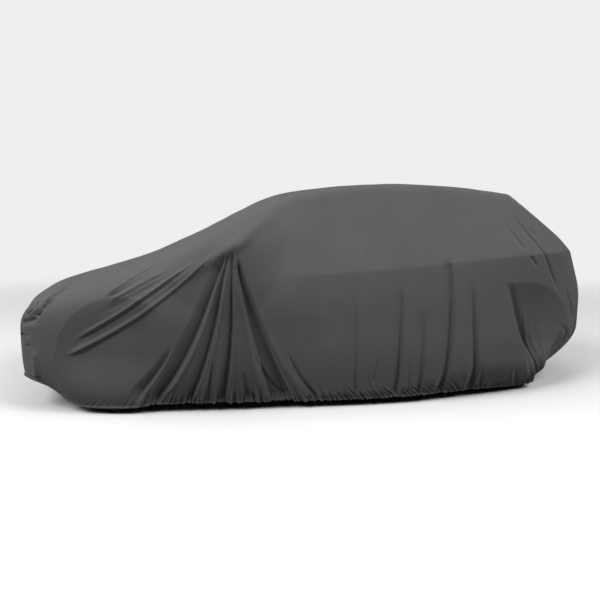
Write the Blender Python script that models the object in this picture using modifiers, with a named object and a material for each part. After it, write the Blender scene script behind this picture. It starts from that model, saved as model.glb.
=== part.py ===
"""A fitted car cover of stretch cloth, in the form that it takes in use.

The cover is one hollow sheet of cloth, and its elastic hem is part of it. The front end points to -X, the left
side to -Y, and +Z is up. The form is worked out over level ground at z = 0 and is then moved, so that the origin
lies under the middle of the cover, level with the lowest point of its hem.

A meridian is the line of the cloth from the hem up to the centre line. The meridians stand side by side round the
plan outline. Run is the distance round that outline from the middle of the front end, and climb is the distance
up the cloth from its shoulder edge, negative below it. Folds are placed in run and climb.
"""

import bpy
import numpy as np

# Driving dimensions, in metres.
SHEET_THICKNESS = 0.002
NOSE_X = -2.035  # front end at bumper height
TAIL_X = 2.03  # rear end at bumper height
HALF_WIDTH = 0.904  # without the two side peaks
NOSE_ROUNDNESS = 4.1  # exponents of the plan outline: 2 is an ellipse, and more is boxier
TAIL_ROUNDNESS = 2.75
SPINE_SHARE = 0.70  # a meridian runs in to a point of the centre line at this share of its own x
SPINE_SPREAD = 0.15  # evens out those points towards the ends
HEM_BAND = 0.06  # the elastic flattens the folds over this height
HEM_FOLD_SHARE = 0.50  # what is left of them at the hem itself

CLOTH_COLOUR = (0.085, 0.085, 0.087, 1.0)
CLOTH_ROUGHNESS = 0.85

# Fineness.
OUTLINE_STEPS = 8001
SIDE_STEPS = 80  # points of a meridian below the shoulder, above it, and on the evened line
TOP_STEPS = 240
MERIDIAN_STEPS = 480
HALF_COLUMNS = 420  # meridians of the left half, and points up each
ROWS = 150
FACE_TRIANGLES = 5450  # of the sheet's outer face

SHOULDER = (  # x, z of the edge between side and top, how far the side leans in to it, softness of the edge
    (-2.10, 0.535, 0.070, 0.050),
    (-1.90, 0.655, 0.035, 0.070),
    (-1.55, 0.766, 0.035, 0.080),
    (-1.10, 0.829, 0.047, 0.080),
    (-0.55, 0.848, 0.040, 0.060),
    (-0.20, 0.865, 0.035, 0.014),
    (0.69, 0.925, 0.035, 0.008),
    (1.60, 0.982, 0.000, 0.010),
    (2.10, 0.972, 0.150, 0.030),
)
HEM = (  # x, z of the hem, how far it is drawn in
    (-2.10, 0.230, -0.004),
    (-1.95, 0.208, 0.008),
    (-1.84, 0.180, 0.030),
    (-1.775, 0.156, 0.050),
    (-1.735, 0.126, 0.065),
    (-1.60, 0.070, 0.060),
    (-1.50, 0.045, 0.055),
    (-1.30, 0.042, 0.045),
    (-1.00, 0.060, 0.080),
    (0.10, 0.051, 0.067),
    (1.20, 0.050, 0.060),
    (1.45, 0.040, 0.065),
    (1.75, 0.185, 0.100),
    (2.10, 0.274, 0.076),
)
TUCK = (  # x, how far the hem is tucked under, height of the tuck
    (-2.10, 0.000, 0.030),
    (-1.93, 0.010, 0.030),
    (-1.82, 0.045, 0.050),
    (-1.65, 0.045, 0.050),
    (-1.45, 0.040, 0.045),
    (-1.20, 0.045, 0.060),
    (0.00, 0.045, 0.070),
    (0.45, 0.030, 0.120),
    (0.95, 0.100, 0.180),
    (1.40, 0.100, 0.180),
    (1.60, 0.025, 0.120),
    (1.80, 0.008, 0.080),
    (2.10, 0.000, 0.080),
)
# Heights along the centre line: x, z.
BONNET = ((-2.10, 0.570), (-1.90, 0.727), (-1.55, 0.841), (-1.19, 0.944), (-0.80, 1.058), (2.10, 1.005))
ROOF = ((-0.60, 1.421), (-0.16, 1.409), (0.22, 1.441), (0.57, 1.453), (0.92, 1.437), (1.24, 1.398), (1.60, 1.344))

# The upper form is the lowest of four sheets: over the windscreen, the roof, the rear window and the side windows.
WINDSCREEN_FOOT = (-1.10, 0.974)  # x, z
WINDSCREEN_RISE = 0.503  # per metre towards the rear
WINDSCREEN_CROWN = 0.12  # drop per square metre away from the centre line
REAR_WINDOW_HEAD = (1.336, 1.380)
REAR_WINDOW_RISE = -0.788
REAR_WINDOW_CROWN = 0.15
ROOF_CROWN = 0.05
SIDE_WINDOW_RISE = 1.95  # per metre inwards from the shoulder
ROOF_FRONT_EASE = 0.11  # how softly each pair of sheets meets
ROOF_REAR_EASE = 0.008
ROOF_SIDE_EASE = 0.02
BONNET_EASE = 0.06
SHOULDER_EASE = 0.004
SHOULDER_EASE_WIDTH = 0.12
BONNET_CROWN_POWER = 2.5
KNEE_Z = 0.44  # below this height the side is drawn in to the hem
LEAN_Z = 0.62  # above this height the side leans in to the shoulder


def table(rows, x, column=1):
    """Smooth curve through the rows' first and given columns, with no overshoot."""
    rows = np.array(rows, float)
    px, py = rows[:, 0], rows[:, column]
    step, rise = np.diff(px), np.diff(py)
    slope = rise / step
    tangent = np.concatenate([[slope[0]], (slope[1:] + slope[:-1]) / 2, [slope[-1]]])
    turning = np.concatenate([[False], slope[1:] * slope[:-1] <= 0, [False]])
    tangent[turning] = 0
    x = np.clip(x, px[0], px[-1])
    k = np.clip(np.searchsorted(px, x) - 1, 0, len(step) - 1)
    t = (x - px[k]) / step[k]
    return (
        py[k] * (1 + 2 * t) * (1 - t) ** 2
        + py[k + 1] * (3 - 2 * t) * t**2
        + step[k] * (tangent[k] * t * (1 - t) ** 2 - tangent[k + 1] * (1 - t) * t**2)
    )


def soft_min(a, b, reach):
    share = np.clip(0.5 + 0.5 * (b - a) / reach, 0, 1)
    return b * (1 - share) + a * share - reach * share * (1 - share)


def soft_max(a, b, reach):
    return -soft_min(-a, -b, reach)


def half_width(x):
    """Plan half-width at x, without the side peaks."""
    middle, reach = (NOSE_X + TAIL_X) / 2, (TAIL_X - NOSE_X) / 2
    share = np.clip(np.abs(x - middle) / reach, 0, 1)
    power = np.where(x < middle, NOSE_ROUNDNESS, TAIL_ROUNDNESS)
    return HALF_WIDTH * (1 - share**power) ** (1 / power)


def outline(count):
    """The left plan outline at even steps from the middle of the front end to that of the rear: run, x and y."""
    turn = np.linspace(0, np.pi, OUTLINE_STEPS)
    middle, reach = (NOSE_X + TAIL_X) / 2, (TAIL_X - NOSE_X) / 2
    power = np.where(turn < np.pi / 2, NOSE_ROUNDNESS, TAIL_ROUNDNESS)
    x = middle - reach * np.sign(np.cos(turn)) * np.abs(np.cos(turn)) ** (2 / power)
    y = -HALF_WIDTH * np.abs(np.sin(turn)) ** (2 / power)
    run = np.concatenate([[0], np.cumsum(np.hypot(np.diff(x), np.diff(y)))])
    at = np.linspace(0, run[-1], count)
    return at, np.interp(at, run, x), np.interp(at, run, y)


def top_height(x, y):
    """Height of the cloth over the bonnet, windows and roof."""
    off = np.abs(y)
    width = half_width(x)
    shoulder = table(SHOULDER, x)
    inward = np.maximum(width - table(SHOULDER, x, 2) - off, 0)
    outward_share = np.clip(1 - inward / np.maximum(width, 0.05), 0, 1)
    bonnet = shoulder + (table(BONNET, x) - shoulder) * (1 - outward_share**BONNET_CROWN_POWER)
    windscreen = WINDSCREEN_FOOT[1] + WINDSCREEN_RISE * (x - WINDSCREEN_FOOT[0]) - WINDSCREEN_CROWN * off**2
    rear_window = REAR_WINDOW_HEAD[1] + REAR_WINDOW_RISE * (x - REAR_WINDOW_HEAD[0]) - REAR_WINDOW_CROWN * off**2
    roof = table(ROOF, x) - ROOF_CROWN * off**2
    side_window = shoulder + SIDE_WINDOW_RISE * inward
    upper = soft_min(windscreen, roof, ROOF_FRONT_EASE)
    upper = soft_min(upper, rear_window, ROOF_REAR_EASE)
    upper = soft_min(upper, side_window, ROOF_SIDE_EASE)
    ease = SHOULDER_EASE + BONNET_EASE * np.clip(inward / SHOULDER_EASE_WIDTH, 0, 1)
    return soft_max(bonnet, upper, ease)


def inset(x, z):
    """How far the side lies inside the plan outline at that height."""
    hem, shoulder = table(HEM, x), table(SHOULDER, x)
    drawn_in = table(HEM, x, 2) * np.clip((KNEE_Z - z) / (KNEE_Z - hem), 0, 1) ** 2
    tucked = table(TUCK, x) * np.clip(1 - (z - hem) / table(TUCK, x, 2), 0, 1) ** 2
    leaning = table(SHOULDER, x, 2) * np.clip((z - LEAN_Z) / (shoulder - LEAN_Z + 1e-6), 0, 1) ** 1.6
    return drawn_in + tucked + leaning


def eased(line, run, softness):
    """The meridian with its bends eased over that distance."""
    step = run[1] - run[0]
    reach = max(1, int(round(2.5 * softness / step)))
    weight = np.exp(-0.5 * (np.arange(-reach, reach + 1) * step / softness) ** 2)
    weight /= weight.sum()
    before = 2 * line[0] - line[reach:0:-1]
    after = 2 * line[-1] - line[-2:-reach - 2:-1]
    longer = np.concatenate([before, line, after])
    return np.stack([np.convolve(longer[:, axis], weight, "valid") for axis in range(3)], 1)


def left_half(columns, rows):
    """The left half of the form as a grid, with run for its columns and climb for its points."""
    run, plan_x, plan_y = outline(columns)
    step_x, step_y = np.gradient(plan_x), np.gradient(plan_y)
    length = np.hypot(step_x, step_y)
    out_x, out_y = step_y / length, -step_x / length
    out_x[0], out_y[0], out_x[-1], out_y[-1] = -1, 0, 1, 0
    even = NOSE_X + (TAIL_X - NOSE_X) * run / run[-1]
    spine = SPINE_SHARE * (plan_x + SPINE_SPREAD * (even - plan_x))
    rise = np.linspace(0, 1, SIDE_STEPS)
    share = np.linspace(0, 1, TOP_STEPS)[1:] ** 1.3
    hem, shoulder, softness = table(HEM, plan_x), table(SHOULDER, plan_x), table(SHOULDER, plan_x, 3)
    points, climbs = [], []
    for k in range(columns):
        z = hem[k] + (shoulder[k] - hem[k]) * rise
        inward = inset(plan_x[k], z)
        side = np.stack([plan_x[k] - out_x[k] * inward, plan_y[k] - out_y[k] * inward, z], 1)
        edge_x, edge_y = side[-1, :2]
        x = edge_x + (spine[k] - edge_x) * share
        y = edge_y * (1 - share)
        line = np.concatenate([side, np.stack([x, y, top_height(x, y)], 1)])
        along = np.concatenate([[0], np.cumsum(np.linalg.norm(np.diff(line, axis=0), axis=1))])
        fine = np.linspace(0, along[-1], MERIDIAN_STEPS)
        line = np.stack([np.interp(fine, along, line[:, axis]) for axis in range(3)], 1)
        line = eased(line, fine, softness[k])
        line[-1, 1] = 0
        at = np.linspace(0, along[-1], rows)
        points.append(np.stack([np.interp(at, fine, line[:, axis]) for axis in range(3)], 1))
        climbs.append(at - along[SIDE_STEPS - 1])
    return run, np.array(points).transpose(1, 0, 2), np.array(climbs).T


PEAK_RUN = 2.00  # the two side peaks, one on each side
PEAK_CLIMB = 0.215
PEAK_TENTS = (  # what a peak adds: how far out, and how far it reaches ahead, behind, up and down
    (0.135, 0.95, 0.55, 0.42, 1.04),
    (0.095, 0.42, 0.30, 0.34, 0.42),
)
PEAK_LIFT = 0.12  # rise for each metre out
PEAK_ROUNDING = 0.10
PEAK_POWER = 1.35


def ring(columns, rows):
    """The whole form: the left half, and the right half as its mirror image, as one closed ring of meridians."""
    run, half, climb = left_half(columns, rows)
    right = half[:, -2:0:-1] * (1, -1, 1)
    points = np.concatenate([half, right], 1)
    run = np.concatenate([run, 2 * run[-1] - run[-2:0:-1]])
    climb = np.concatenate([climb, climb[:, -2:0:-1]], 1)
    return points, np.broadcast_to(run, climb.shape), climb


def normals(points):
    """Outward direction of the sheet at every point of the ring."""
    across = np.roll(points, -1, 1) - np.roll(points, 1, 1)
    up = np.gradient(points, axis=0)
    out = np.cross(across, up)
    last = out[-1, :, 2] < 1e-9
    out[-1] = np.where(last[:, None], (0, 0, 1), out[-1])
    return out / np.maximum(np.linalg.norm(out, axis=2, keepdims=True), 1e-12)


def from_run(run, at, around):
    """Signed distance round the ring."""
    return (run - at + around / 2) % around - around / 2


def tents(points, run, climb, around):
    """The form with the cloth pushed straight out to both side peaks."""
    push = np.zeros_like(run)
    for at in (PEAK_RUN, around - PEAK_RUN):
        ahead = from_run(run, at, around) * (-1 if at < around / 2 else 1)
        above = climb - PEAK_CLIMB
        for height, front, back, up, down in PEAK_TENTS:
            far = np.hypot(ahead / np.where(ahead > 0, front, back), above / np.where(above > 0, up, down))
            far = np.sqrt(far**2 + PEAK_ROUNDING**2) - PEAK_ROUNDING
            push += height * np.clip(1 - far, 0, 1) ** PEAK_POWER
    left = np.where(run < around / 2, -1, 1)
    return points + np.stack([0 * push, left * push, PEAK_LIFT * push], 2)


WHEEL_HOLLOWS = (  # x, z of the centre, radius, how deep the cloth sinks in, x where that starts and ends
    (-1.30, 0.342, 0.413, 0.042, -1.80, -1.02),
    (1.335, 0.342, 0.436, 0.055, 1.14, 2.02),
)
HOLLOW_RIM = 0.19  # width of the slope from the hollow's edge to its floor
# Folds, in metres: name, run and climb of the start, run and climb of the end, sideways bend of the middle, width
# at start and end, height at start and end (a valley is negative), share of the length where each end fades.
LEFT_FOLDS = (
    ("peak ridge ahead", 1.50, -0.05, 2.02, 0.23, -0.02, 0.040, 0.040, 0.006, 0.026, 0.3, 0.05),
    ("peak ridge to the pillar", 2.00, 0.20, 2.35, 0.50, 0.02, 0.040, 0.060, 0.020, 0.004, 0.08, 0.4),
    ("peak hollow", 1.93, 0.10, 1.62, -0.22, 0.02, 0.060, 0.110, -0.010, -0.010, 0.1, 0.4),
    ("peak hollow behind", 2.12, 0.14, 2.40, -0.10, 0.02, 0.070, 0.110, -0.006, -0.006, 0.4, 0.4),
    ("fan valley 1", 1.95, 0.18, 1.55, -0.73, 0.05, 0.020, 0.050, -0.018, -0.036, 0.08, 0.0),
    ("fan valley 2", 1.97, 0.18, 1.75, -0.75, 0.03, 0.014, 0.034, -0.014, -0.036, 0.06, 0.0),
    ("fan valley 3", 1.99, 0.19, 1.95, -0.76, 0.03, 0.014, 0.036, -0.014, -0.036, 0.06, 0.0),
    ("fan rib 3", 2.01, 0.15, 2.19, -0.76, -0.01, 0.014, 0.014, 0.003, 0.008, 0.05, 0.2),
    ("fan valley 4", 2.02, 0.15, 2.40, -0.79, -0.01, 0.018, 0.078, -0.018, -0.036, 0.08, 0.0),
    ("fan rib 4", 2.09, 0.05, 2.45, -0.76, -0.04, 0.012, 0.030, 0.003, 0.010, 0.2, 0.1),
    ("sail valley", 1.65, -0.37, 1.45, -0.67, 0.01, 0.014, 0.034, -0.003, -0.028, 0.25, 0.0),
    ("stay rib", 0.96, -0.37, 1.87, 0.15, -0.08, 0.017, 0.014, 0.018, 0.015, 0.1, 0.05),
    ("stay step", 0.98, -0.38, 1.87, 0.14, -0.07, 0.020, 0.014, -0.008, -0.006, 0.12, 0.05),
    ("stay valley", 1.02, -0.30, 1.80, 0.13, -0.04, 0.014, 0.014, -0.010, -0.008, 0.12, 0.1),
    ("upper stay rib", 1.02, -0.28, 1.80, 0.15, -0.04, 0.015, 0.014, 0.013, 0.012, 0.15, 0.1),
    ("bonnet valley", 1.24, -0.05, 1.63, 0.30, -0.02, 0.014, 0.014, -0.008, -0.005, 0.12, 0.3),
    ("bonnet rib lower", 1.25, -0.07, 1.64, 0.11, -0.00, 0.018, 0.018, 0.007, 0.005, 0.15, 0.3),
    ("nose crease", 0.43, 0.45, 0.77, 0.03, 0.11, 0.014, 0.014, -0.007, -0.011, 0.2, 0.05),
    ("nose trough", 0.79, 0.02, 0.77, -0.08, 0.00, 0.014, 0.020, -0.007, -0.013, 0.1, 0.15),
    ("nose dimple", 0.65, 0.09, 0.68, -0.02, 0.02, 0.014, 0.014, -0.007, -0.015, 0.2, 0.15),
    ("nose nick", 0.79, -0.20, 0.57, -0.16, 0.00, 0.014, 0.014, -0.002, -0.013, 0.3, 0.05),
    ("nose lip", 0.62, -0.24, 0.75, -0.30, 0.03, 0.014, 0.014, -0.008, -0.009, 0.1, 0.15),
    ("nose corner", 0.74, -0.29, 0.70, -0.47, 0.01, 0.030, 0.030, 0.008, 0.011, 0.15, 0.05),
    ("door valley 1", 2.78, -0.09, 2.80, -0.76, -0.01, 0.026, 0.032, -0.004, -0.013, 0.25, 0.0),
    ("door valley 2", 3.08, -0.09, 3.08, -0.80, 0.00, 0.022, 0.034, -0.006, -0.020, 0.2, 0.0),
    ("door valley 3", 3.22, -0.20, 3.25, -0.84, -0.00, 0.020, 0.028, -0.003, -0.013, 0.3, 0.0),
    ("door valley 4", 3.42, 0.09, 3.41, -0.87, 0.01, 0.022, 0.036, -0.010, -0.029, 0.05, 0.0),
    ("door valley 5", 3.56, -0.15, 3.67, -0.96, -0.02, 0.018, 0.030, -0.007, -0.034, 0.2, 0.0),
    ("arch pleat", 3.82, -0.17, 4.22, -0.93, -0.02, 0.014, 0.034, -0.006, -0.025, 0.05, 0.0),
    ("arch corner", 4.27, -0.44, 4.32, -0.81, 0.01, 0.030, 0.050, -0.010, -0.032, 0.2, 0.0),
    ("quarter pull 1", 3.90, 0.26, 3.98, 0.04, -0.01, 0.014, 0.014, -0.005, -0.005, 0.2, 0.1),
    ("quarter pull 2", 3.98, 0.30, 4.31, -0.30, -0.02, 0.014, 0.014, -0.006, -0.008, 0.15, 0.25),
)
RIGHT_FOLDS = (  # the same measures, with run taken round the right side
    ("peak ridge ahead", 1.46, -0.04, 2.02, 0.23, -0.02, 0.040, 0.040, 0.006, 0.026, 0.3, 0.05),
    ("peak ridge to the pillar", 2.00, 0.20, 2.35, 0.50, 0.02, 0.040, 0.060, 0.020, 0.004, 0.08, 0.4),
    ("peak hollow", 1.92, 0.10, 1.60, -0.20, 0.02, 0.060, 0.110, -0.010, -0.010, 0.1, 0.4),
    ("peak hollow behind", 2.12, 0.14, 2.42, -0.12, 0.02, 0.070, 0.110, -0.006, -0.006, 0.4, 0.4),
    ("fan valley 1", 1.92, 0.17, 1.48, -0.72, 0.05, 0.018, 0.050, -0.011, -0.036, 0.06, 0.0),
    ("fan valley 2", 1.96, 0.18, 1.69, -0.74, 0.04, 0.014, 0.034, -0.010, -0.035, 0.05, 0.0),
    ("fan valley 3", 1.99, 0.19, 1.91, -0.75, 0.03, 0.014, 0.036, -0.010, -0.036, 0.05, 0.0),
    ("fan rib 3", 2.01, 0.15, 2.12, -0.75, -0.01, 0.014, 0.014, 0.003, 0.008, 0.05, 0.2),
    ("fan valley 4", 2.02, 0.15, 2.34, -0.78, -0.02, 0.014, 0.066, -0.007, -0.036, 0.06, 0.0),
    ("fan valley 5", 2.10, 0.02, 2.56, -0.79, -0.05, 0.014, 0.034, -0.003, -0.024, 0.2, 0.0),
    ("sail valley", 1.60, -0.38, 1.38, -0.66, 0.02, 0.014, 0.032, -0.003, -0.027, 0.25, 0.0),
    ("stay rib", 0.94, -0.35, 1.83, 0.13, -0.05, 0.018, 0.014, 0.012, 0.008, 0.1, 0.08),
    ("stay step", 0.95, -0.37, 1.83, 0.11, -0.05, 0.016, 0.014, -0.007, -0.006, 0.12, 0.06),
    ("stay valley", 1.00, -0.27, 1.79, 0.13, -0.04, 0.014, 0.014, -0.010, -0.007, 0.12, 0.12),
    ("bonnet valley", 1.19, -0.05, 1.66, 0.27, 0.00, 0.014, 0.014, -0.008, -0.005, 0.12, 0.35),
    ("nose crease", 0.46, 0.42, 0.77, 0.04, 0.08, 0.014, 0.014, -0.006, -0.010, 0.2, 0.1),
    ("nose trough", 0.79, 0.01, 0.62, -0.09, 0.05, 0.010, 0.014, -0.012, -0.014, 0.12, 0.1),
    ("nose corner", 0.75, -0.28, 0.71, -0.46, -0.00, 0.030, 0.030, 0.008, 0.011, 0.15, 0.05),
    ("door valley 1", 2.84, -0.08, 2.86, -0.77, -0.01, 0.022, 0.028, -0.003, -0.010, 0.3, 0.0),
    ("door valley 2", 3.15, -0.10, 3.18, -0.81, 0.00, 0.020, 0.030, -0.004, -0.017, 0.2, 0.0),
    ("door valley 4", 3.36, 0.08, 3.38, -0.83, 0.02, 0.018, 0.032, -0.007, -0.025, 0.05, 0.0),
    ("door valley 5", 3.60, -0.12, 3.61, -0.87, 0.01, 0.014, 0.028, -0.004, -0.028, 0.2, 0.0),
    ("arch pleat", 3.83, -0.14, 4.16, -0.90, -0.02, 0.014, 0.034, -0.006, -0.024, 0.05, 0.0),
    ("arch corner", 4.27, -0.43, 4.32, -0.70, -0.00, 0.030, 0.050, -0.010, -0.029, 0.2, 0.0),
    ("quarter pull", 3.98, 0.30, 4.33, -0.28, -0.02, 0.014, 0.014, -0.005, -0.006, 0.15, 0.25),
)
END_FOLDS = (  # the same measures, for the folds over the front and rear ends, with run taken round the left side
    ("nose sag", -0.52, -0.12, 0.50, -0.14, -0.03, 0.030, 0.030, -0.008, -0.008, 0.2, 0.2),
    ("nose tuck left", 0.30, -0.16, 0.38, -0.36, 0.00, 0.030, 0.030, -0.004, -0.012, 0.3, 0.0),
    ("nose tuck right", -0.26, -0.14, -0.34, -0.36, 0.00, 0.030, 0.030, -0.004, -0.012, 0.3, 0.0),
    ("tail pull left", 4.52, 0.04, 4.98, -0.52, 0.02, 0.016, 0.024, -0.008, -0.008, 0.15, 0.1),
    ("tail pull right", 5.70, 0.02, 5.30, -0.50, -0.02, 0.016, 0.024, -0.008, -0.008, 0.15, 0.1),
    ("tail sag", 4.72, -0.22, 5.54, -0.24, -0.04, 0.032, 0.032, -0.010, -0.010, 0.2, 0.2),
    ("tail tuck left", 4.62, -0.34, 4.58, -0.66, 0.00, 0.018, 0.026, -0.004, -0.015, 0.3, 0.0),
    ("tail tuck right", 5.60, -0.36, 5.66, -0.66, 0.00, 0.018, 0.026, -0.004, -0.015, 0.3, 0.0),
    ("tail tuck middle", 5.10, -0.38, 5.08, -0.64, 0.00, 0.020, 0.026, -0.003, -0.014, 0.3, 0.0),
)


def smooth_step(t):
    t = np.clip(t, 0, 1)
    return t * t * (3 - 2 * t)


def fold_height(fold, run, climb, around):
    """How far one fold lifts the sheet along its normal."""
    name, run_a, climb_a, run_b, climb_b, bend, wide_a, wide_b, height_a, height_b, fade_a, fade_b = fold
    length = np.hypot(run_b - run_a, climb_b - climb_a)
    along_run, along_climb = (run_b - run_a) / length, (climb_b - climb_a) / length
    away = from_run(run, run_a, around)
    rise = climb - climb_a
    t = (away * along_run + rise * along_climb) / length
    inside = np.clip(t, 0, 1)
    side = rise * along_run - away * along_climb - bend * 4 * inside * (1 - inside)
    wide = wide_a + (wide_b - wide_a) * inside
    height = height_a + (height_b - height_a) * inside
    start = smooth_step(t / fade_a) if fade_a > 0 else smooth_step(1 + t / 0.1)
    end = smooth_step((1 - t) / fade_b) if fade_b > 0 else smooth_step(1 + (1 - t) / 0.3)
    return height * np.exp(-((side / wide) ** 2)) * start * end


def all_folds(around):
    rows = list(LEFT_FOLDS) + list(END_FOLDS)
    for name, run_a, climb_a, run_b, climb_b, bend, *rest in RIGHT_FOLDS:
        rows.append((name, around - run_a, climb_a, around - run_b, climb_b, -bend, *rest))
    return rows


def hollows(points):
    """How far the cloth sinks in over the wheels."""
    x, y, z = points[..., 0], points[..., 1], points[..., 2]
    sink = np.zeros_like(x)
    for centre_x, centre_z, radius, depth, start, end in WHEEL_HOLLOWS:
        inward = np.clip((radius - np.hypot(x - centre_x, z - centre_z)) / HOLLOW_RIM, 0, 1)
        above_hem = smooth_step((z - 0.10) / 0.30)
        ahead_and_behind = smooth_step((x - start) / 0.08) * smooth_step((end - x) / 0.16)
        on_side = smooth_step((np.abs(y) - 0.45) / 0.20)
        sink += depth * inward * (1.6 - 0.6 * inward) * above_hem * ahead_and_behind * on_side
    return sink


def draped(columns, rows):
    """The sheet's outer face as a ring of meridians, with its peaks, hollows and folds."""
    points, run, climb = ring(columns, rows)
    around = 2 * run[0, columns - 1]
    points = tents(points, run, climb, around)
    lift = -hollows(points)
    for fold in all_folds(around):
        lift = lift + fold_height(fold, run, climb, around)
    lift *= HEM_FOLD_SHARE + (1 - HEM_FOLD_SHARE) * smooth_step((climb - climb[:1]) / HEM_BAND)
    return points + lift[..., None] * normals(points)


def ring_faces(rows, around):
    """Four-sided faces between the ring's meridians, with the last point of each shared across the centre line."""
    number = np.arange(rows * around).reshape(rows, around)
    number[-1, HALF_COLUMNS:] = number[-1, HALF_COLUMNS - 2:0:-1]
    low, high = number[:-1], number[1:]
    return np.stack([low, np.roll(low, -1, 1), np.roll(high, -1, 1), high], 2).reshape(-1, 4)


def build_cover():
    points = draped(HALF_COLUMNS, ROWS)
    rows, around = points.shape[:2]
    points = points.reshape(-1, 3)
    low, high = points.min(0), points.max(0)
    points[(rows - 1) * around:, 1] = 0
    points -= ((low[0] + high[0]) / 2, (low[1] + high[1]) / 2, low[2])
    used, faces = np.unique(ring_faces(rows, around), return_inverse=True)
    faces = faces.reshape(-1, 4)

    mesh = bpy.data.meshes.new("cover")
    mesh.from_pydata(points[used].tolist(), [], faces.tolist())
    cover = bpy.data.objects.new("cover", mesh)

    thinned = cover.modifiers.new("thinned", "DECIMATE")
    thinned.ratio = FACE_TRIANGLES / (2 * len(faces))
    thinned.use_collapse_triangulate = True
    sheet = cover.modifiers.new("sheet", "SOLIDIFY")
    sheet.thickness = SHEET_THICKNESS
    sheet.offset = -1.0
    return cover


def main():
    for thing in list(bpy.data.objects):
        bpy.data.objects.remove(thing)
    group = bpy.data.collections.new("car_cover")
    bpy.context.scene.collection.children.link(group)

    cloth = bpy.data.materials.new("stretch_cloth")
    cloth.use_nodes = True
    shader = cloth.node_tree.nodes["Principled BSDF"]
    shader.inputs["Base Color"].default_value = CLOTH_COLOUR
    shader.inputs["Roughness"].default_value = CLOTH_ROUGHNESS

    cover = build_cover()
    cover.data.materials.append(cloth)
    group.objects.link(cover)


main()
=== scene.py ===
"""The looks of a fitted car cover of stretch cloth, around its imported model.

The front end points to -X, the left side to -Y, and +Z is up. The form is worked out over level ground at
z = 0 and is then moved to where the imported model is.

A meridian is the line of the cloth from the hem up to the centre line. The meridians stand side by side round
the plan outline. Run is the distance round that outline from the middle of the front end, and climb is the
distance up the cloth from its shoulder edge, negative below it. Folds are placed in run and climb. Rise is
the distance up the cloth from the hem.
"""

import math

import bpy
import numpy as np
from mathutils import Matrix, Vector

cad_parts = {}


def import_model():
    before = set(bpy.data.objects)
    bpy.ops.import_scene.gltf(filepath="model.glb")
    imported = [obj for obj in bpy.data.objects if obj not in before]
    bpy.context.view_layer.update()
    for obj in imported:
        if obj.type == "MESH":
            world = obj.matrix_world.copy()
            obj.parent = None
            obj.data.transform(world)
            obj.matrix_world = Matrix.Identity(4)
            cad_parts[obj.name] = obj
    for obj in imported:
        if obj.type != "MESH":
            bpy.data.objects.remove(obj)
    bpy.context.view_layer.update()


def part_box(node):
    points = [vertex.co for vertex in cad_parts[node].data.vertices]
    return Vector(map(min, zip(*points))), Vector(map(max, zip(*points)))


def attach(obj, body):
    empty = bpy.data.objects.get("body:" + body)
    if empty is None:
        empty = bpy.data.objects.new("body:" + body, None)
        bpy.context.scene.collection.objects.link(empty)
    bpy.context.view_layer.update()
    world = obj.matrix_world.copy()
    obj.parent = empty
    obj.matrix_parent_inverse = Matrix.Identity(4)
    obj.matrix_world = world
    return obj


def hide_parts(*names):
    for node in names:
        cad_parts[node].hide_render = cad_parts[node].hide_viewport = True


# Driving dimensions, in metres.
SHEET_THICKNESS = 0.002
NOSE_X = -2.035  # front end at bumper height
TAIL_X = 2.03  # rear end at bumper height
HALF_WIDTH = 0.904  # without the two side peaks
NOSE_ROUNDNESS = 4.1  # exponents of the plan outline: 2 is an ellipse, and more is boxier
TAIL_ROUNDNESS = 2.75
SPINE_SHARE = 0.70  # a meridian runs in to a point of the centre line at this share of its own x
SPINE_SPREAD = 0.15  # evens out those points towards the ends
HEM_BAND = 0.06  # the elastic flattens the folds over this height
HEM_FOLD_SHARE = 0.25  # what is left of them at the hem itself

# Fineness.
OUTLINE_STEPS = 8001
SIDE_STEPS = 80  # points of a meridian below the shoulder, above it, and on the evened line
TOP_STEPS = 240
MERIDIAN_STEPS = 480
TOP_CROWDING = 1.3  # how a meridian's points crowd towards the shoulder from above
COLUMN_SPACING = (  # run, distance between the broadest meridians there; the finest are a quarter of it apart
    (0.00, 0.048),
    (0.34, 0.040),
    (0.42, 0.016),
    (4.35, 0.016),
    (4.60, 0.028),
    (5.13, 0.040),
)
HEM_SHARE = 0.18  # share of the side's height that the lowest piece takes
TOP_SHARE = 0.335  # share of the top's width that the fine rows above the shoulder take
# Rows of faces in the lowest piece, from it to the shoulder, above the shoulder, and in the rest.
HEM_ROWS = 21
SIDE_ROWS = 90
UPPER_ROWS = 51
TOP_ROWS = 20
HEM_CROWDING = 1.3  # how the rows crowd towards the hem, and towards the shoulder from below and above
SHOULDER_CROWDING = 1.25
FRONT_RUNS = (0.42, 2.45)  # the cloth ahead of the peaks and under them is in finer pieces
QUARTER_RUNS = (3.80, 4.60)  # so is the cloth above the rear shoulders
SIDE_STEP = 2  # rows of the finer pieces to one of the cloth beside them
UPPER_STEP = 3
MIDDLE_STEP = 2  # finest meridians to one of the middling pieces, and to one of the broadest faces
BROAD_STEP = 4

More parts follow.
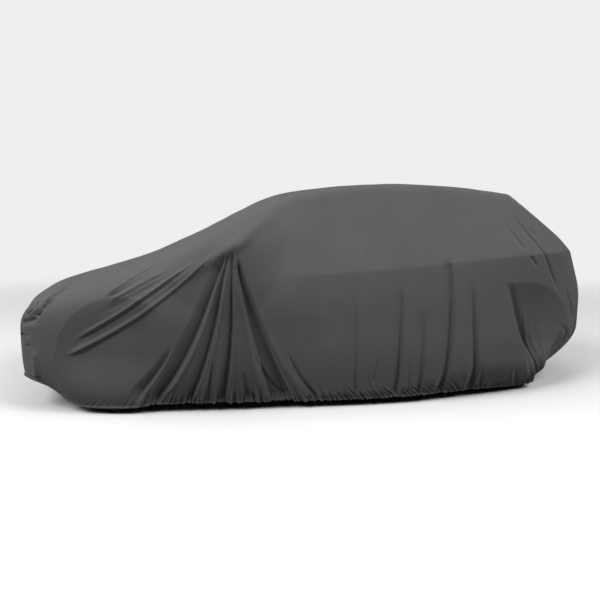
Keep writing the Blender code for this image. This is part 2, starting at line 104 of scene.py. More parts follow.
SHOULDER = (  # x, z of the edge between side and top, how far the side leans in to it, softness of the edge
    (-2.10, 0.535, 0.070, 0.050),
    (-1.90, 0.655, 0.035, 0.070),
    (-1.55, 0.766, 0.035, 0.080),
    (-1.10, 0.829, 0.047, 0.080),
    (-0.55, 0.848, 0.040, 0.060),
    (-0.20, 0.865, 0.035, 0.014),
    (0.69, 0.925, 0.035, 0.008),
    (1.60, 0.982, 0.000, 0.010),
    (2.10, 0.972, 0.150, 0.030),
)
HEM = (  # x, z of the hem, how far it is drawn in
    (-2.10, 0.230, -0.004),
    (-1.95, 0.208, 0.008),
    (-1.84, 0.168, 0.026),
    (-1.775, 0.132, 0.044),
    (-1.735, 0.098, 0.055),
    (-1.60, 0.046, 0.052),
    (-1.50, 0.040, 0.052),
    (-1.30, 0.042, 0.045),
    (-1.00, 0.060, 0.080),
    (0.10, 0.051, 0.067),
    (1.20, 0.050, 0.060),
    (1.45, 0.040, 0.065),
    (1.75, 0.070, 0.050),
    (2.10, 0.190, 0.030),
)
TUCK = (  # x, how far the hem is tucked under, height of the tuck
    (-2.10, 0.000, 0.030),
    (-1.93, 0.012, 0.030),
    (-1.82, 0.045, 0.050),
    (-1.65, 0.040, 0.050),
    (-1.45, 0.018, 0.050),
    (-1.20, 0.024, 0.050),
    (0.00, 0.018, 0.055),
    (0.45, 0.018, 0.080),
    (0.95, 0.070, 0.190),
    (1.40, 0.085, 0.200),
    (1.58, 0.080, 0.200),
    (1.70, 0.190, 0.380),
    (1.85, 0.200, 0.310),
    (2.10, 0.130, 0.200),
)
# Heights along the centre line: x, z.
BONNET = ((-2.10, 0.570), (-1.90, 0.727), (-1.55, 0.841), (-1.19, 0.944), (-0.80, 1.058), (2.10, 1.005))
ROOF = (
    (-0.60, 1.421),
    (-0.16, 1.409),
    (0.22, 1.441),
    (0.57, 1.453),
    (0.92, 1.437),
    (1.24, 1.398),
    (1.60, 1.344),
)

# The upper form is the lowest of four sheets: over the windscreen, the roof, the rear window and the side
# windows.
WINDSCREEN_FOOT = (-1.10, 0.974)  # x, z
WINDSCREEN_RISE = 0.503  # per metre towards the rear
WINDSCREEN_CROWN = 0.12  # drop per square metre away from the centre line
REAR_WINDOW_HEAD = (1.336, 1.380)
REAR_WINDOW_RISE = -0.788
REAR_WINDOW_CROWN = 0.15
ROOF_CROWN = 0.05
SIDE_WINDOW_RISE = 1.95  # per metre inwards from the shoulder
ROOF_FRONT_EASE = 0.11  # how softly each pair of sheets meets
ROOF_REAR_EASE = 0.008
ROOF_SIDE_EASE = 0.02
BONNET_EASE = 0.06
SHOULDER_EASE = 0.004
SHOULDER_EASE_WIDTH = 0.12
BONNET_CROWN_POWER = 2.5
LEAST_HALF_WIDTH = 0.05  # the plan counts as at least this wide at its two ends
KNEE_Z = 0.44  # below this height the side is drawn in to the hem
LEAN_Z = 0.62  # above this height the side leans in to the shoulder
KNEE_POWER = 2  # how late on its way each of these bends sets in
TUCK_POWER = 1.6
LEAN_POWER = 1.6
NEVER_ZERO = 1e-6
EASE_REACH = 2.5  # softnesses out to which the easing of a bend reaches
SHORTEST_NORMAL = 1e-12


def table(rows, x, column=1):
    """Smooth curve through the rows' first and given columns, with no overshoot."""
    rows = np.array(rows, float)
    px, py = rows[:, 0], rows[:, column]
    step, rise = np.diff(px), np.diff(py)
    slope = rise / step
    tangent = np.concatenate([[slope[0]], (slope[1:] + slope[:-1]) / 2, [slope[-1]]])
    turning = np.concatenate([[False], slope[1:] * slope[:-1] <= 0, [False]])
    tangent[turning] = 0
    x = np.clip(x, px[0], px[-1])
    k = np.clip(np.searchsorted(px, x) - 1, 0, len(step) - 1)
    t = (x - px[k]) / step[k]
    return (
        py[k] * (1 + 2 * t) * (1 - t) ** 2
        + py[k + 1] * (3 - 2 * t) * t**2
        + step[k] * (tangent[k] * t * (1 - t) ** 2 - tangent[k + 1] * (1 - t) * t**2)
    )


def smooth_step(t):
    t = np.clip(t, 0, 1)
    return t * t * (3 - 2 * t)


def soft_min(a, b, reach):
    share = np.clip(0.5 + 0.5 * (b - a) / reach, 0, 1)
    return b * (1 - share) + a * share - reach * share * (1 - share)


def soft_max(a, b, reach):
    return -soft_min(-a, -b, reach)


def half_width(x):
    """Plan half-width at x, without the side peaks."""
    middle, reach = (NOSE_X + TAIL_X) / 2, (TAIL_X - NOSE_X) / 2
    share = np.clip(np.abs(x - middle) / reach, 0, 1)
    power = np.where(x < middle, NOSE_ROUNDNESS, TAIL_ROUNDNESS)
    return HALF_WIDTH * (1 - share**power) ** (1 / power)


def plan_outline():
    """The left plan outline in small steps, from the middle of the front end to that of the rear end.

    Returns run, x and y.
    """
    turn = np.linspace(0, np.pi, OUTLINE_STEPS)
    middle, reach = (NOSE_X + TAIL_X) / 2, (TAIL_X - NOSE_X) / 2
    power = np.where(turn < np.pi / 2, NOSE_ROUNDNESS, TAIL_ROUNDNESS)
    x = middle - reach * np.sign(np.cos(turn)) * np.abs(np.cos(turn)) ** (2 / power)
    y = -HALF_WIDTH * np.abs(np.sin(turn)) ** (2 / power)
    run = np.concatenate([[0], np.cumsum(np.hypot(np.diff(x), np.diff(y)))])
    return run, x, y


def top_height(x, y):
    """Height of the cloth over the bonnet, windows and roof."""
    off = np.abs(y)
    width = half_width(x)
    shoulder = table(SHOULDER, x)
    inward = np.maximum(width - table(SHOULDER, x, 2) - off, 0)
    outward_share = np.clip(1 - inward / np.maximum(width, LEAST_HALF_WIDTH), 0, 1)
    bonnet = shoulder + (table(BONNET, x) - shoulder) * (1 - outward_share**BONNET_CROWN_POWER)
    foot_x, foot_z = WINDSCREEN_FOOT
    windscreen = foot_z + WINDSCREEN_RISE * (x - foot_x) - WINDSCREEN_CROWN * off**2
    head_x, head_z = REAR_WINDOW_HEAD
    rear_window = head_z + REAR_WINDOW_RISE * (x - head_x) - REAR_WINDOW_CROWN * off**2
    roof = table(ROOF, x) - ROOF_CROWN * off**2
    side_window = shoulder + SIDE_WINDOW_RISE * inward
    upper = soft_min(windscreen, roof, ROOF_FRONT_EASE)
    upper = soft_min(upper, rear_window, ROOF_REAR_EASE)
    upper = soft_min(upper, side_window, ROOF_SIDE_EASE)
    ease = SHOULDER_EASE + BONNET_EASE * np.clip(inward / SHOULDER_EASE_WIDTH, 0, 1)
    return soft_max(bonnet, upper, ease)


def inset(x, z):
    """How far the side lies inside the plan outline at that height."""
    hem, shoulder = table(HEM, x), table(SHOULDER, x)
    drawn_in = table(HEM, x, 2) * np.clip((KNEE_Z - z) / (KNEE_Z - hem), 0, 1) ** KNEE_POWER
    tucked = table(TUCK, x) * np.clip(1 - (z - hem) / table(TUCK, x, 2), 0, 1) ** TUCK_POWER
    leant = np.clip((z - LEAN_Z) / (shoulder - LEAN_Z + NEVER_ZERO), 0, 1)
    leaning = table(SHOULDER, x, 2) * leant**LEAN_POWER
    return drawn_in + tucked + leaning


def eased(line, run, softness):
    """The meridian with its bends eased over that distance."""
    step = run[1] - run[0]
    reach = max(1, int(round(EASE_REACH * softness / step)))
    weight = np.exp(-0.5 * (np.arange(-reach, reach + 1) * step / softness) ** 2)
    weight /= weight.sum()
    before = 2 * line[0] - line[reach:0:-1]
    after = 2 * line[-1] - line[-2:-reach - 2:-1]
    longer = np.concatenate([before, line, after])
    return np.stack([np.convolve(longer[:, axis], weight, "valid") for axis in range(3)], 1)


def left_half(at, side_shares, top_shares):
    """Points of the left half on the meridians at those runs, with the climb and the rise of each.

    The rows lie at those shares of the side's height, and then at those of the top's width.
    """
    run, outline_x, outline_y = plan_outline()
    plan_x, plan_y = np.interp(at, run, outline_x), np.interp(at, run, outline_y)
    step_x, step_y = np.gradient(plan_x, at), np.gradient(plan_y, at)
    length = np.hypot(step_x, step_y)
    out_x, out_y = step_y / length, -step_x / length
    out_x[0], out_y[0], out_x[-1], out_y[-1] = -1, 0, 1, 0
    even = NOSE_X + (TAIL_X - NOSE_X) * at / run[-1]
    spine = SPINE_SHARE * (plan_x + SPINE_SPREAD * (even - plan_x))
    rise = np.linspace(0, 1, SIDE_STEPS)
    share = np.linspace(0, 1, TOP_STEPS)[1:] ** TOP_CROWDING
    hem, shoulder, softness = table(HEM, plan_x), table(SHOULDER, plan_x), table(SHOULDER, plan_x, 3)
    points, heights, shoulders = [], [], []
    for k in range(len(at)):
        z = hem[k] + (shoulder[k] - hem[k]) * rise
        inward = inset(plan_x[k], z)
        side = np.stack([plan_x[k] - out_x[k] * inward, plan_y[k] - out_y[k] * inward, z], 1)
        edge_x, edge_y = side[-1, :2]
        x = edge_x + (spine[k] - edge_x) * share
        y = edge_y * (1 - share)
        line = np.concatenate([side, np.stack([x, y, top_height(x, y)], 1)])
        along = np.concatenate([[0], np.cumsum(np.linalg.norm(np.diff(line, axis=0), axis=1))])
        fine = np.linspace(0, along[-1], MERIDIAN_STEPS)
        line = np.stack([np.interp(fine, along, line[:, axis]) for axis in range(3)], 1)
        line = eased(line, fine, softness[k])
        line[-1, 1] = 0
        edge = along[SIDE_STEPS - 1]
        rows = np.concatenate([edge * side_shares, edge + (along[-1] - edge) * top_shares])
        points.append(np.stack([np.interp(rows, fine, line[:, axis]) for axis in range(3)], 1))
        heights.append(rows)
        shoulders.append(edge)
    rise = np.array(heights).T
    return np.array(points).transpose(1, 0, 2), rise - np.array(shoulders), rise


PEAK_RUN = 2.00  # the two side peaks, one on each side
PEAK_CLIMB = 0.215
PEAK_TENTS = (  # what a peak adds: how far out, and how far it reaches ahead, behind, up and down
    (0.135, 0.95, 0.55, 0.42, 1.04),
    (0.095, 0.42, 0.30, 0.34, 0.42),
)
PEAK_LIFT = 0.12  # rise for each metre out
PEAK_ROUNDING = 0.10
PEAK_POWER = 1.35


def from_run(run, at, around):
    """Signed distance round the ring."""
    return (run - at + around / 2) % around - around / 2


def tents(points, run, climb, around):
    """The form with the cloth pushed straight out to both side peaks."""
    push = np.zeros_like(run)
    for at in (PEAK_RUN, around - PEAK_RUN):
        ahead = from_run(run, at, around) * (-1 if at < around / 2 else 1)
        above = climb - PEAK_CLIMB
        for height, front, back, up, down in PEAK_TENTS:
            far = np.hypot(ahead / np.where(ahead > 0, front, back), above / np.where(above > 0, up, down))
            far = np.sqrt(far**2 + PEAK_ROUNDING**2) - PEAK_ROUNDING
            push += height * np.clip(1 - far, 0, 1) ** PEAK_POWER
    left = np.where(run < around / 2, -1, 1)
    return points + np.stack([0 * push, left * push, PEAK_LIFT * push], 2)


# x, z of the centre, radius, how deep it is, width of the slope from its edge, roundness ahead.
WHEEL_HOLLOWS = (
    (-1.30, 0.342, 0.413, 0.042, 0.19, 1.0),
    (1.335, 0.350, 0.440, 0.075, 0.36, 0.0),
)
# x where it starts and ends, how much further back it starts for each metre down, softness of both.
HOLLOW_ENDS = (
    (-1.80, -1.02, 0.00, 0.08, 0.16),
    (1.155, 2.02, 0.40, 0.03, 0.16),
)
HOLLOW_TOP = 0.80  # the start leans from this height down
HOLLOW_FOOT = 0.10  # height where it begins above the hem, and the height over which it sets in
HOLLOW_FOOT_EASE = 0.30
HOLLOW_INNER = 0.45  # the same across, from the centre line out
HOLLOW_INNER_EASE = 0.20
HOLLOW_EDGE = 1.6  # slope at its edge, and how far the slope eases on the way in
HOLLOW_EASE = 0.6

# Cross-sections of a fold: a wave, an edge, and an edge that is steep on one side. On the way from its start
# to its end, a pleat is steep on the left, and a turned one on the right.
SOFT, CREASE, PLEAT, TURNED = "soft", "crease", "pleat", "turned"
MIRRORED = {SOFT: SOFT, CREASE: CREASE, PLEAT: TURNED, TURNED: PLEAT}
CREASE_REACH = 2.0  # widths out to which an edge or a pleat's gentle side reaches
CREASE_ROUNDING = 0.08  # share of the reach over which the bottom is rounded
CREASE_POWER = 2.0
PLEAT_POWER = 1.25
WALL_WIDTH = 0.20  # widths out to which a pleat's steep side reaches, besides the least width of it
WALL_LEAST = 0.009
WALL_POWER = 1.4
OPEN_START = 0.1  # share of its length over which an unfaded fold runs out past its start, and past its end
OPEN_END = 0.3

# Folds, in metres: name, run and climb of the start, run and climb of the end, sideways bend of the middle,
# width at start and end, height at start and end (a valley is negative), share of the length where each end
# fades, and the cross-section.
LEFT_FOLDS = (
    ("peak ridge ahead", 1.50, -0.05, 2.02, 0.23, -0.020, 0.040, 0.040, 0.006, 0.026, 0.3, 0.05, SOFT),
    ("peak ridge to the pillar", 2.00, 0.20, 2.35, 0.50, 0.020, 0.040, 0.060, 0.020, 0.004, 0.08, 0.4, SOFT),
    ("peak hollow", 1.93, 0.10, 1.62, -0.22, 0.020, 0.060, 0.110, -0.010, -0.010, 0.1, 0.4, SOFT),
    ("peak hollow behind", 2.12, 0.14, 2.40, -0.10, 0.020, 0.070, 0.110, -0.006, -0.006, 0.4, 0.4, SOFT),
    ("fan valley 1", 1.95, 0.18, 1.55, -0.73, 0.052, 0.020, 0.050, -0.022, -0.052, 0.08, 0.0, PLEAT),
    ("fan rib 1", 1.94, 0.10, 1.59, -0.72, 0.053, 0.006, 0.010, 0.005, 0.011, 0.15, 0.1, CREASE),
    ("fan valley 2", 1.97, 0.18, 1.75, -0.74, 0.035, 0.014, 0.034, -0.017, -0.044, 0.06, 0.0, PLEAT),
    ("fan rib 2", 1.98, 0.11, 1.81, -0.74, 0.020, 0.006, 0.010, 0.005, 0.011, 0.15, 0.1, CREASE),
    ("fan valley 2b", 1.89, -0.39, 1.85, -0.74, 0.001, 0.010, 0.018, -0.004, -0.022, 0.3, 0.0, PLEAT),
    ("fan rib 2b", 1.95, -0.27, 1.88, -0.74, 0.006, 0.007, 0.010, 0.002, 0.009, 0.3, 0.1, CREASE),
    ("fan valley 3", 1.99, 0.19, 1.95, -0.75, 0.033, 0.012, 0.036, -0.017, -0.047, 0.06, 0.0, PLEAT),
    ("fan rib 3", 2.01, 0.15, 2.19, -0.76, -0.011, 0.008, 0.014, 0.006, 0.014, 0.05, 0.2, CREASE),
    ("fan step 4", 2.03, 0.12, 2.24, -0.76, -0.007, 0.014, 0.036, -0.010, -0.030, 0.1, 0.0, TURNED),
    ("fan valley 4", 2.02, 0.15, 2.37, -0.78, -0.010, 0.018, 0.066, -0.021, -0.056, 0.08, 0.0, PLEAT),
    ("fan rib 4", 2.09, 0.05, 2.45, -0.76, -0.044, 0.012, 0.030, 0.003, 0.010, 0.2, 0.1, SOFT),
    ("fan valley 4a", 2.12, -0.42, 2.31, -0.76, -0.019, 0.008, 0.012, -0.004, -0.020, 0.3, 0.0, CREASE),
    ("fan rib 4a", 2.14, -0.42, 2.33, -0.77, -0.020, 0.006, 0.010, 0.003, 0.010, 0.3, 0.1, CREASE),
    ("fan valley 5", 2.33, -0.44, 2.53, -0.78, -0.013, 0.008, 0.014, -0.004, -0.024, 0.3, 0.0, PLEAT),
    ("fan crease", 2.02, -0.36, 2.02, -0.75, 0.000, 0.010, 0.016, -0.002, -0.008, 0.3, 0.0, SOFT),
    ("fan pocket", 2.06, -0.57, 2.11, -0.78, 0.000, 0.016, 0.032, -0.006, -0.034, 0.3, 0.0, SOFT),
    ("sail valley", 1.65, -0.37, 1.45, -0.67, 0.016, 0.010, 0.034, -0.004, -0.040, 0.25, 0.0, PLEAT),
    ("sail rib", 1.67, -0.40, 1.46, -0.72, 0.020, 0.006, 0.009, 0.003, 0.009, 0.3, 0.1, CREASE),
    ("stay rib", 0.96, -0.37, 1.87, 0.15, -0.085, 0.017, 0.007, 0.021, 0.013, 0.1, 0.1, TURNED),
    ("stay step", 0.98, -0.38, 1.87, 0.14, -0.074, 0.018, 0.006, -0.006, -0.002, 0.12, 0.12, PLEAT),
    ("stay valley", 1.02, -0.30, 1.80, 0.13, -0.045, 0.008, 0.005, -0.009, -0.004, 0.12, 0.2, PLEAT),
    ("upper stay rib", 1.02, -0.28, 1.80, 0.15, -0.042, 0.012, 0.007, 0.015, 0.012, 0.15, 0.2, TURNED),
    ("upper stay hollow", 1.16, -0.15, 1.63, 0.05, -0.015, 0.022, 0.012, -0.006, -0.006, 0.3, 0.25, SOFT),
    ("bonnet rib", 1.23, -0.03, 1.52, 0.28, -0.018, 0.011, 0.010, 0.015, 0.012, 0.12, 0.3, CREASE),
    ("bonnet valley", 1.24, -0.05, 1.63, 0.30, -0.023, 0.007, 0.008, -0.010, -0.006, 0.12, 0.3, CREASE),
    ("bonnet rib lower", 1.25, -0.08, 1.64, 0.11, -0.002, 0.018, 0.018, 0.010, 0.007, 0.15, 0.3, TURNED),
    ("nose crease", 0.43, 0.45, 0.77, 0.03, 0.109, 0.016, 0.010, -0.022, -0.028, 0.15, 0.05, CREASE),
    ("nose crease rib", 0.81, 0.21, 0.80, 0.02, 0.027, 0.009, 0.010, 0.016, 0.020, 0.3, 0.1, CREASE),
    ("nose crease lower", 0.86, 0.06, 0.79, -0.01, 0.007, 0.008, 0.012, -0.008, -0.018, 0.3, 0.05, CREASE),
    ("nose trough", 0.79, 0.02, 0.75, -0.07, 0.008, 0.016, 0.026, -0.018, -0.032, 0.1, 0.2, SOFT),
    ("nose trough end", 0.79, -0.07, 0.60, -0.08, 0.007, 0.020, 0.016, -0.024, -0.020, 0.3, 0.1, SOFT),
    ("nose trough rib", 0.76, 0.02, 0.68, -0.05, 0.017, 0.007, 0.007, 0.008, 0.008, 0.2, 0.2, CREASE),
    ("nose dimple", 0.65, 0.09, 0.67, -0.03, 0.032, 0.012, 0.018, -0.020, -0.040, 0.2, 0.15, PLEAT),
    ("nose dimple end", 0.69, -0.01, 0.63, -0.04, 0.000, 0.014, 0.016, -0.018, -0.022, 0.2, 0.1, PLEAT),
    ("nose dimple upper", 0.58, 0.08, 0.60, 0.00, 0.026, 0.010, 0.014, -0.020, -0.040, 0.2, 0.1, PLEAT),
    ("nose swelling", 0.82, -0.14, 0.59, -0.12, 0.000, 0.020, 0.022, 0.003, 0.007, 0.3, 0.1, SOFT),
    ("nose nick", 0.71, -0.19, 0.57, -0.17, -0.005, 0.008, 0.010, -0.003, -0.022, 0.4, 0.05, CREASE),
    ("nose lip", 0.62, -0.25, 0.75, -0.31, 0.030, 0.012, 0.012, -0.012, -0.012, 0.3, 0.3, CREASE),
    ("nose corner", 0.74, -0.29, 0.71, -0.46, 0.005, 0.030, 0.030, 0.010, 0.014, 0.15, 0.05, CREASE),
    ("door valley 1", 2.78, -0.09, 2.80, -0.76, -0.009, 0.026, 0.032, -0.006, -0.018, 0.25, 0.0, PLEAT),
    ("door valley 2", 3.08, -0.10, 3.08, -0.79, 0.000, 0.026, 0.036, -0.012, -0.034, 0.2, 0.0, PLEAT),
    ("door valley 3", 3.22, -0.20, 3.24, -0.83, -0.002, 0.022, 0.030, -0.006, -0.024, 0.3, 0.0, PLEAT),
    ("door valley 4", 3.41, 0.05, 3.41, -0.86, 0.013, 0.032, 0.038, -0.020, -0.038, 0.1, 0.0, PLEAT),
    ("door rib 4", 3.43, 0.01, 3.43, -0.75, 0.006, 0.010, 0.010, 0.003, 0.005, 0.2, 0.2, SOFT),
    ("door valley 5", 3.56, -0.12, 3.66, -0.93, -0.010, 0.022, 0.034, -0.012, -0.042, 0.2, 0.0, PLEAT),
    ("door valley 6", 3.65, -0.66, 3.74, -0.95, -0.011, 0.012, 0.018, -0.003, -0.016, 0.3, 0.0, PLEAT),
    ("door shade", 2.64, -0.14, 2.62, -0.48, 0.005, 0.035, 0.035, -0.005, -0.005, 0.3, 0.3, SOFT),
    ("door pinch 1", 2.94, -0.54, 2.90, -0.74, -0.001, 0.008, 0.012, -0.002, -0.010, 0.3, 0.1, TURNED),
    ("door pinch 2", 3.14, -0.57, 3.15, -0.81, -0.003, 0.008, 0.010, -0.001, -0.010, 0.3, 0.0, CREASE),
    ("door pinch 3", 2.86, -0.60, 2.88, -0.75, -0.004, 0.008, 0.010, -0.001, -0.006, 0.3, 0.0, CREASE),
    ("window streak 1", 2.80, 0.23, 2.76, 0.00, 0.006, 0.007, 0.007, -0.003, -0.003, 0.3, 0.1, CREASE),
    ("window streak 2", 2.89, 0.32, 2.85, -0.02, 0.007, 0.007, 0.007, -0.004, -0.004, 0.3, 0.1, CREASE),
    ("window streak 3", 3.06, 0.18, 3.03, -0.01, 0.000, 0.007, 0.007, -0.002, -0.003, 0.3, 0.1, CREASE),
    ("window streak 4", 3.39, 0.18, 3.37, -0.01, -0.002, 0.007, 0.007, -0.002, -0.003, 0.3, 0.1, CREASE),
    ("arch pleat", 3.83, -0.17, 4.24, -0.94, -0.012, 0.014, 0.036, -0.006, -0.036, 0.05, 0.0, TURNED),
    ("arch rib", 4.00, -0.30, 4.24, -0.90, -0.044, 0.009, 0.010, 0.006, 0.014, 0.4, 0.1, CREASE),
    ("arch valley", 4.11, -0.42, 4.22, -0.82, -0.006, 0.014, 0.014, -0.003, -0.006, 0.3, 0.1, SOFT),
    ("arch rib rear", 4.18, -0.50, 4.22, -0.73, 0.002, 0.012, 0.012, 0.003, 0.006, 0.3, 0.1, SOFT),
    ("arch corner", 4.28, -0.48, 4.28, -0.74, 0.177, 0.022, 0.030, -0.008, -0.026, 0.4, 0.0, CREASE),
    ("quarter pull 1", 3.90, 0.26, 3.98, 0.04, -0.013, 0.009, 0.009, -0.009, -0.009, 0.2, 0.1, CREASE),
    ("quarter pull 1 lower", 4.00, -0.01, 4.07, -0.09, 0.000, 0.009, 0.009, -0.011, -0.009, 0.1, 0.3, CREASE),
    ("quarter pull 2", 3.98, 0.30, 4.30, -0.29, -0.019, 0.009, 0.011, -0.011, -0.014, 0.15, 0.25, CREASE),
    ("quarter pull 3", 4.08, 0.20, 4.11, 0.12, 0.001, 0.008, 0.008, -0.008, -0.008, 0.3, 0.3, CREASE),
    ("corner wrinkle", 4.37, -0.23, 4.54, -0.50, 0.001, 0.010, 0.012, -0.008, -0.014, 0.3, 0.2, CREASE),
    ("hem rib", 3.90, -0.74, 4.02, -0.98, -0.007, 0.006, 0.007, 0.003, 0.008, 0.3, 0.0, CREASE),
    ("hem valley", 3.93, -0.75, 4.06, -0.98, -0.007, 0.008, 0.012, -0.003, -0.016, 0.3, 0.0, TURNED),
    ("hem valley rear", 4.08, -0.80, 4.24, -0.98, -0.003, 0.008, 0.010, -0.003, -0.014, 0.3, 0.0, CREASE),
)
RIGHT_FOLDS = (  # the same measures, with run taken round the right side
    ("peak ridge ahead", 1.46, -0.04, 2.02, 0.23, -0.020, 0.040, 0.040, 0.006, 0.026, 0.3, 0.05, SOFT),
    ("peak ridge to the pillar", 2.00, 0.20, 2.35, 0.50, 0.020, 0.040, 0.060, 0.020, 0.004, 0.08, 0.4, SOFT),
    ("peak hollow", 1.92, 0.10, 1.60, -0.20, 0.020, 0.060, 0.110, -0.010, -0.010, 0.1, 0.4, SOFT),
    ("peak hollow behind", 2.12, 0.14, 2.42, -0.12, 0.020, 0.070, 0.110, -0.006, -0.006, 0.4, 0.4, SOFT),
    ("fan valley 1", 1.92, 0.17, 1.48, -0.72, 0.054, 0.018, 0.050, -0.016, -0.056, 0.06, 0.0, PLEAT),
    ("fan rib 1", 1.94, 0.10, 1.52, -0.71, 0.048, 0.006, 0.010, 0.003, 0.008, 0.15, 0.1, CREASE),
    ("fan valley 2", 1.96, 0.18, 1.69, -0.74, 0.036, 0.012, 0.034, -0.014, -0.050, 0.05, 0.0, PLEAT),
    ("fan rib 2", 1.97, 0.10, 1.75, -0.73, 0.024, 0.006, 0.010, 0.003, 0.008, 0.15, 0.1, CREASE),
    ("fan valley 3", 1.99, 0.19, 1.91, -0.75, 0.026, 0.009, 0.036, -0.014, -0.052, 0.05, 0.0, PLEAT),
    ("fan rib 3", 2.01, 0.15, 2.12, -0.75, -0.010, 0.008, 0.014, 0.004, 0.010, 0.05, 0.2, CREASE),
    ("fan valley 4", 2.02, 0.15, 2.34, -0.78, -0.016, 0.012, 0.066, -0.010, -0.060, 0.06, 0.0, PLEAT),
    ("fan rib 4", 2.09, 0.05, 2.37, -0.76, -0.040, 0.012, 0.030, 0.003, 0.010, 0.2, 0.1, SOFT),
    ("fan valley 5", 2.10, 0.02, 2.56, -0.79, -0.050, 0.010, 0.034, -0.004, -0.034, 0.2, 0.0, PLEAT),
    ("fan valley 6", 2.40, -0.48, 2.66, -0.80, -0.015, 0.008, 0.014, -0.004, -0.022, 0.3, 0.0, PLEAT),
    ("sail valley", 1.60, -0.38, 1.38, -0.66, 0.016, 0.010, 0.032, -0.004, -0.038, 0.25, 0.0, PLEAT),
    ("stay rib", 0.94, -0.35, 1.83, 0.13, -0.052, 0.018, 0.012, 0.017, 0.012, 0.1, 0.08, TURNED),
    ("stay step", 0.95, -0.37, 1.83, 0.11, -0.052, 0.016, 0.012, -0.010, -0.008, 0.12, 0.06, PLEAT),
    ("stay valley", 1.00, -0.27, 1.79, 0.13, -0.044, 0.012, 0.009, -0.015, -0.010, 0.12, 0.12, PLEAT),
    ("bonnet rib", 1.20, -0.03, 1.55, 0.22, 0.010, 0.010, 0.010, 0.008, 0.006, 0.12, 0.35, CREASE),
    ("bonnet valley", 1.19, -0.05, 1.66, 0.27, 0.004, 0.008, 0.009, -0.010, -0.006, 0.12, 0.35, CREASE),
    ("nose crease", 0.46, 0.42, 0.77, 0.04, 0.080, 0.006, 0.010, -0.007, -0.012, 0.2, 0.1, CREASE),
    ("nose trough", 0.79, 0.01, 0.62, -0.09, 0.050, 0.010, 0.014, -0.012, -0.014, 0.12, 0.1, SOFT),
    ("nose dimple", 0.66, 0.06, 0.64, -0.04, 0.030, 0.008, 0.012, -0.010, -0.020, 0.2, 0.1, PLEAT),
    ("nose corner", 0.75, -0.28, 0.71, -0.46, -0.003, 0.030, 0.030, 0.010, 0.014, 0.15, 0.05, CREASE),
    ("door valley 1", 2.84, -0.08, 2.86, -0.77, -0.010, 0.022, 0.028, -0.004, -0.014, 0.3, 0.0, PLEAT),
    ("door valley 2", 3.15, -0.10, 3.18, -0.81, 0.003, 0.020, 0.030, -0.006, -0.024, 0.2, 0.0, PLEAT),
    ("door valley 4", 3.36, 0.08, 3.38, -0.83, 0.016, 0.018, 0.032, -0.010, -0.036, 0.05, 0.0, PLEAT),
    ("door valley 5", 3.60, -0.12, 3.61, -0.87, 0.005, 0.014, 0.028, -0.006, -0.040, 0.2, 0.0, PLEAT),
    ("window streak 1", 2.84, 0.26, 2.82, 0.00, 0.006, 0.007, 0.007, -0.003, -0.003, 0.3, 0.1, CREASE),
    ("window streak 2", 3.20, 0.22, 3.18, -0.01, 0.003, 0.007, 0.007, -0.003, -0.003, 0.3, 0.1, CREASE),
    ("arch pleat", 3.83, -0.14, 4.16, -0.90, -0.018, 0.012, 0.034, -0.008, -0.034, 0.05, 0.0, TURNED),
    ("arch rib", 3.98, -0.26, 4.20, -0.87, -0.040, 0.008, 0.009, 0.002, 0.008, 0.4, 0.1, CREASE),
    ("arch corner", 4.27, -0.43, 4.32, -0.70, -0.002, 0.030, 0.050, -0.014, -0.042, 0.2, 0.0, TURNED),
    ("quarter pull", 3.98, 0.30, 4.33, -0.28, -0.022, 0.007, 0.009, -0.006, -0.008, 0.15, 0.25, CREASE),
)
# The same measures, for the folds over the front and rear ends, with run taken round the left side.
END_FOLDS = (
    ("nose sag", -0.52, -0.12, 0.50, -0.14, -0.030, 0.030, 0.030, -0.008, -0.008, 0.2, 0.2, SOFT),
    ("nose tuck left", 0.30, -0.16, 0.38, -0.36, 0.000, 0.030, 0.030, -0.004, -0.012, 0.3, 0.0, SOFT),
    ("nose tuck right", -0.26, -0.14, -0.34, -0.36, 0.000, 0.030, 0.030, -0.004, -0.012, 0.3, 0.0, SOFT),
    ("tail pull left", 4.52, 0.04, 4.98, -0.52, 0.020, 0.016, 0.024, -0.012, -0.012, 0.15, 0.1, PLEAT),
    ("tail pull right", 5.70, 0.02, 5.30, -0.50, -0.020, 0.016, 0.024, -0.012, -0.012, 0.15, 0.1, TURNED),
    ("tail sag", 4.72, -0.22, 5.54, -0.24, -0.040, 0.032, 0.032, -0.010, -0.010, 0.2, 0.2, SOFT),
    ("tail tuck left", 4.62, -0.34, 4.58, -0.66, 0.000, 0.018, 0.026, -0.006, -0.022, 0.3, 0.0, PLEAT),
    ("tail tuck right", 5.60, -0.36, 5.66, -0.66, 0.000, 0.018, 0.026, -0.006, -0.022, 0.3, 0.0, TURNED),
    ("tail tuck middle", 5.10, -0.38, 5.08, -0.64, 0.000, 0.020, 0.026, -0.004, -0.018, 0.3, 0.0, CREASE),
)


def cross_section(kind, side, wide):
    """Share of a fold's height at that distance from its line, positive to the left."""
    if kind == SOFT:
        return np.exp(-(side / wide) ** 2)
    steep = (kind == PLEAT) & (side > 0) | (kind == TURNED) & (side < 0)
    gentle_power = CREASE_POWER if kind == CREASE else PLEAT_POWER
    off = np.abs(side) / np.where(steep, WALL_WIDTH * wide + WALL_LEAST, CREASE_REACH * wide)
    off = np.hypot(off, CREASE_ROUNDING) - CREASE_ROUNDING
    return np.clip(1 - off, 0, 1) ** np.where(steep, WALL_POWER, gentle_power)


